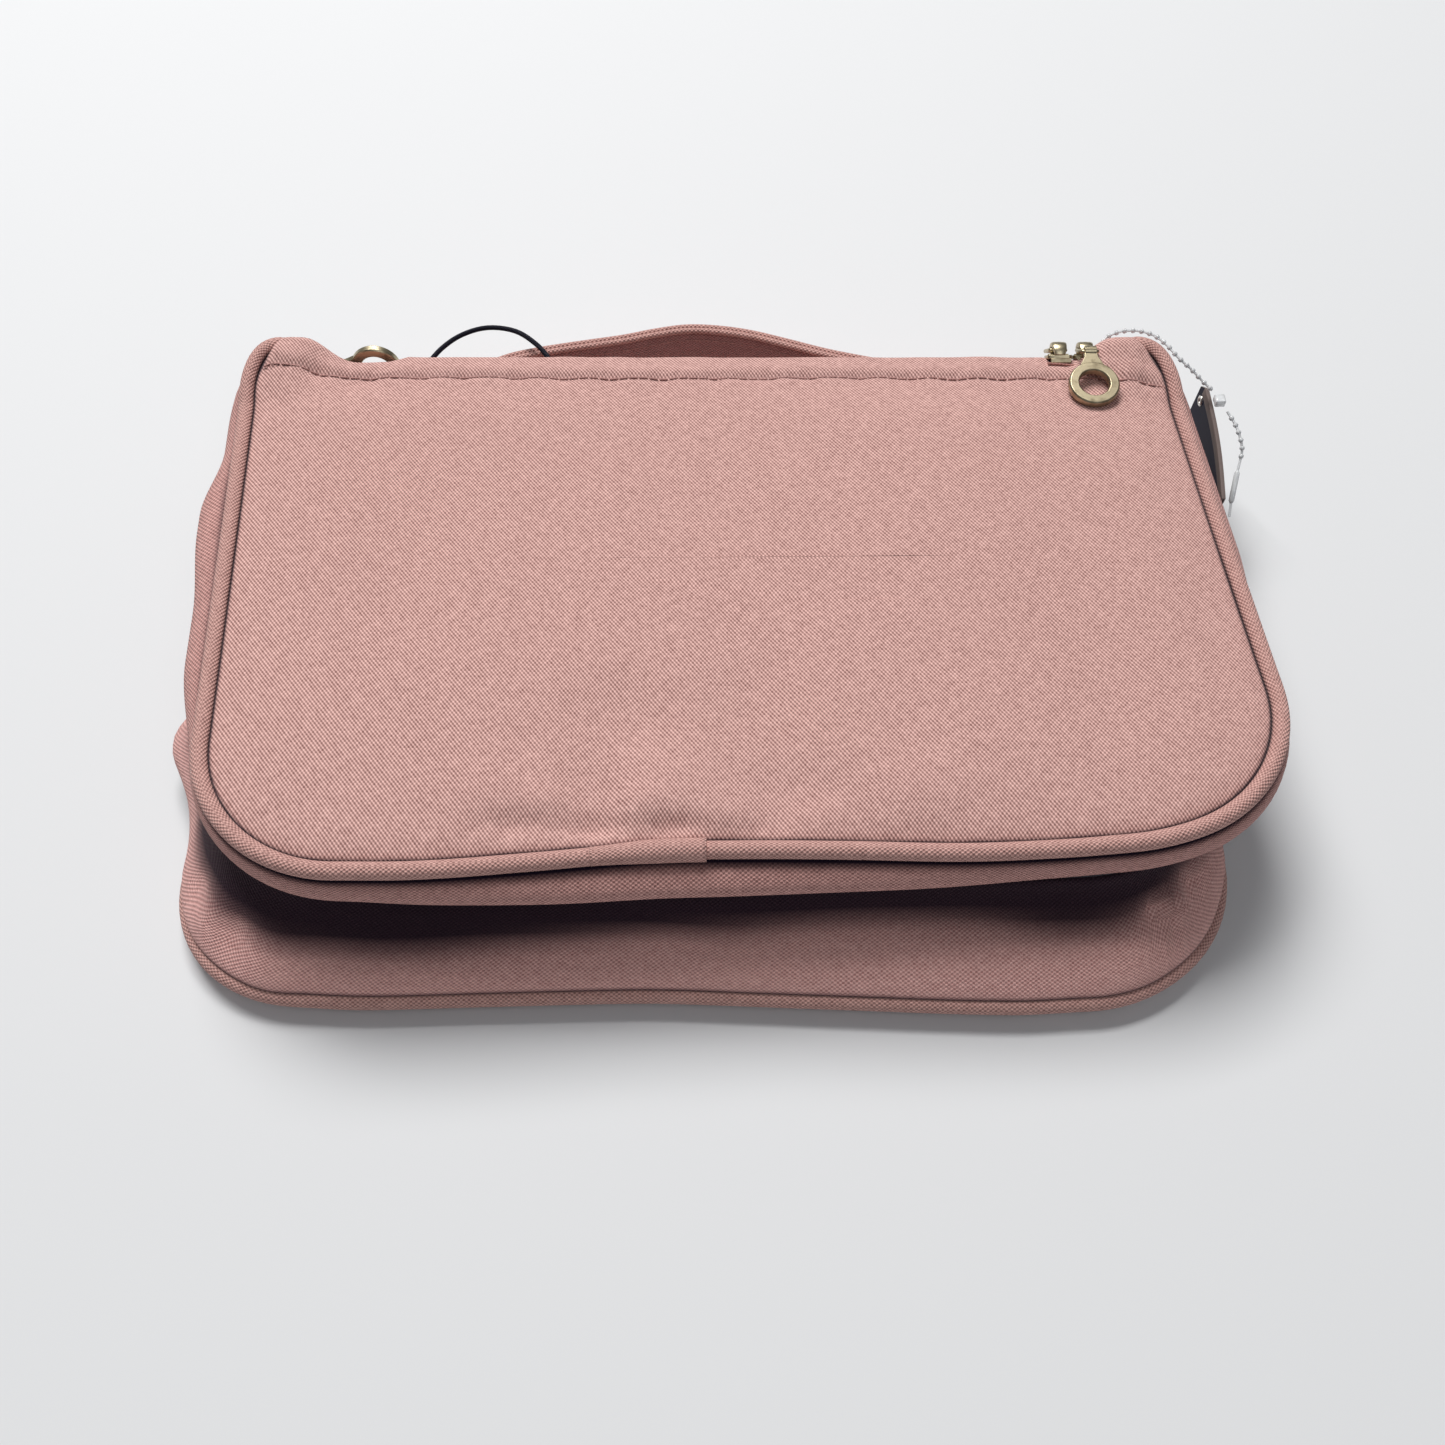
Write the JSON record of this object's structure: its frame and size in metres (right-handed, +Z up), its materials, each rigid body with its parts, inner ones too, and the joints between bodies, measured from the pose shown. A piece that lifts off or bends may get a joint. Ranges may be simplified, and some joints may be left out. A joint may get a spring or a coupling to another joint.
{
  "type": "makeup bag",
  "caption": "Soft clamshell makeup bag with a hinged zip-round lid, piped edges, carry handle and ring pulls.",
  "frame": {"origin": "on the floor, under the middle of the base panel", "axes": "+Z up from the floor through the front panel; +Y towards the spine and handle; +X to the right, along the bag's width"},
  "size_m": [0.3101, 0.2286, 0.0537],
  "materials": {
    "woven_pink": "matte heathered plain weave",
    "piping_pink": "matte weave on cord",
    "dark_lining": "matte nylon lining",
    "zip_dark": "woven tape and nylon coil",
    "antique_gold": "antique, satin",
    "black_elastic": "braided elastic",
    "tag_card": "printed card, blank",
    "clear_plastic": "clear, glossy",
    "eyelet_steel": "satin"
  },
  "bodies": {
    "base": {"base_panel": "woven_pink", "base_gusset": "woven_pink", "base_lining": "dark_lining", "base_piping": "piping_pink", "spine_strip": "woven_pink", "base_zip_tape": "zip_dark", "base_zip_coil": "zip_dark", "handle_anchor_left": "piping_pink", "handle_anchor_right": "piping_pink", "elastic_loop": "black_elastic", "bottle_elastic": "dark_lining"},
    "lid": {"front_panel": "woven_pink", "lid_gusset": "woven_pink", "front_piping_left": "piping_pink", "front_piping_right": "piping_pink", "front_piping_wrap": "piping_pink", "lid_lining": "dark_lining", "lid_zip_tape": "zip_dark", "lid_zip_coil": "zip_dark", "zip_end_left": "woven_pink", "zip_end_right": "woven_pink", "pocket_mesh": "dark_lining", "pocket_binding": "piping_pink", "pocket_zip_tape": "zip_dark", "pocket_zip_coil": "zip_dark", "tag_loop": "clear_plastic", "tag_lock": "clear_plastic", "tag_loop_tail": "clear_plastic"},
    "tag": {"tag_card": "tag_card", "tag_eyelet": "eyelet_steel"},
    "handle": {"handle_strap": "woven_pink", "handle_cord_lower": "piping_pink", "handle_cord_upper": "piping_pink"},
    "pocket_slider": {"pocket_slider": "antique_gold"},
    "pocket_pull": {"pocket_pull": "antique_gold"},
    "slider_right_front": {"slider_right_front": "antique_gold"},
    "link_right_front": {"link_right_front": "antique_gold"},
    "ring_pull_right_front": {"ring_pull_right_front": "antique_gold"},
    "slider_right_back": {"slider_right_back": "antique_gold"},
    "link_right_back": {"link_right_back": "antique_gold"},
    "slider_left": {"slider_left": "antique_gold"},
    "link_left": {"link_left": "antique_gold"},
    "ring_pull_left": {"ring_pull_left": "antique_gold"}
  },
  "joints": [
    {"name": "lid_open", "type": "hinge", "parent": "base", "child": "lid", "pos_m": [0, 0.0992, 0.0446], "axis": [-1, 0, 0], "range_deg": [0, 180]},
    {"name": "handle_swing", "type": "hinge", "parent": "base", "child": "handle", "pos_m": [0, 0.1005, 0.0245], "axis": [-1, 0, 0], "range_deg": [0, 18]},
    {"name": "slider_right_front_slide", "type": "slide", "parent": "lid", "child": "slider_right_front", "axis": [1, 0, 0], "range_m": [0, 0.011]},
    {"name": "slider_right_back_slide", "type": "slide", "parent": "lid", "child": "slider_right_back", "axis": [1, 0, 0], "range_m": [0, 0.011]},
    {"name": "slider_left_slide", "type": "slide", "parent": "lid", "child": "slider_left", "axis": [1, 0, 0], "range_m": [-0.0022, 0.005]},
    {"name": "link_right_front_swing", "type": "hinge", "parent": "slider_right_front", "child": "link_right_front", "pos_m": [0.113, 0.10154, 0.04704], "axis": [-1, 0, 0], "range_deg": [0, 180]},
    {"name": "ring_right_front_swing", "type": "hinge", "parent": "link_right_front", "child": "ring_pull_right_front", "pos_m": [0.113, 0.09548, 0.05195], "axis": [-1, 0, 0], "range_deg": [0, 110]},
    {"name": "link_right_back_swing", "type": "hinge", "parent": "slider_right_back", "child": "link_right_back", "pos_m": [0.1048, 0.10154, 0.04704], "axis": [1, 0, 0], "range_deg": [0, 160]},
    {"name": "link_left_swing", "type": "hinge", "parent": "slider_left", "child": "link_left", "pos_m": [-0.1306, 0.1047, 0.0366], "axis": [0, 0, 1], "range_deg": [0, 120]},
    {"name": "ring_left_swing", "type": "hinge", "parent": "link_left", "child": "ring_pull_left", "pos_m": [-0.12288, 0.10579, 0.0366], "axis": [0, 0, 1], "range_deg": [0, 100]},
    {"name": "tag_swing", "type": "hinge", "parent": "lid", "child": "tag", "pos_m": [0.1519, 0.0942, 0.0326], "axis": [-1, 0, 0], "range_deg": [0, 35]},
    {"name": "pocket_slider_slide", "type": "slide", "parent": "lid", "child": "pocket_slider", "axis": [-1, 0, 0], "range_m": [0, 0.2]},
    {"name": "pocket_pull_swing", "type": "hinge", "parent": "pocket_slider", "child": "pocket_pull", "pos_m": [0.1085, 0.075, 0.03205], "axis": [1, 0, 0], "range_deg": [-70, 70]}
  ],
  "couplings": [
    {"joint": "slider_right_back_slide", "follows": "slider_right_front_slide", "ratio": 1}
  ]
}
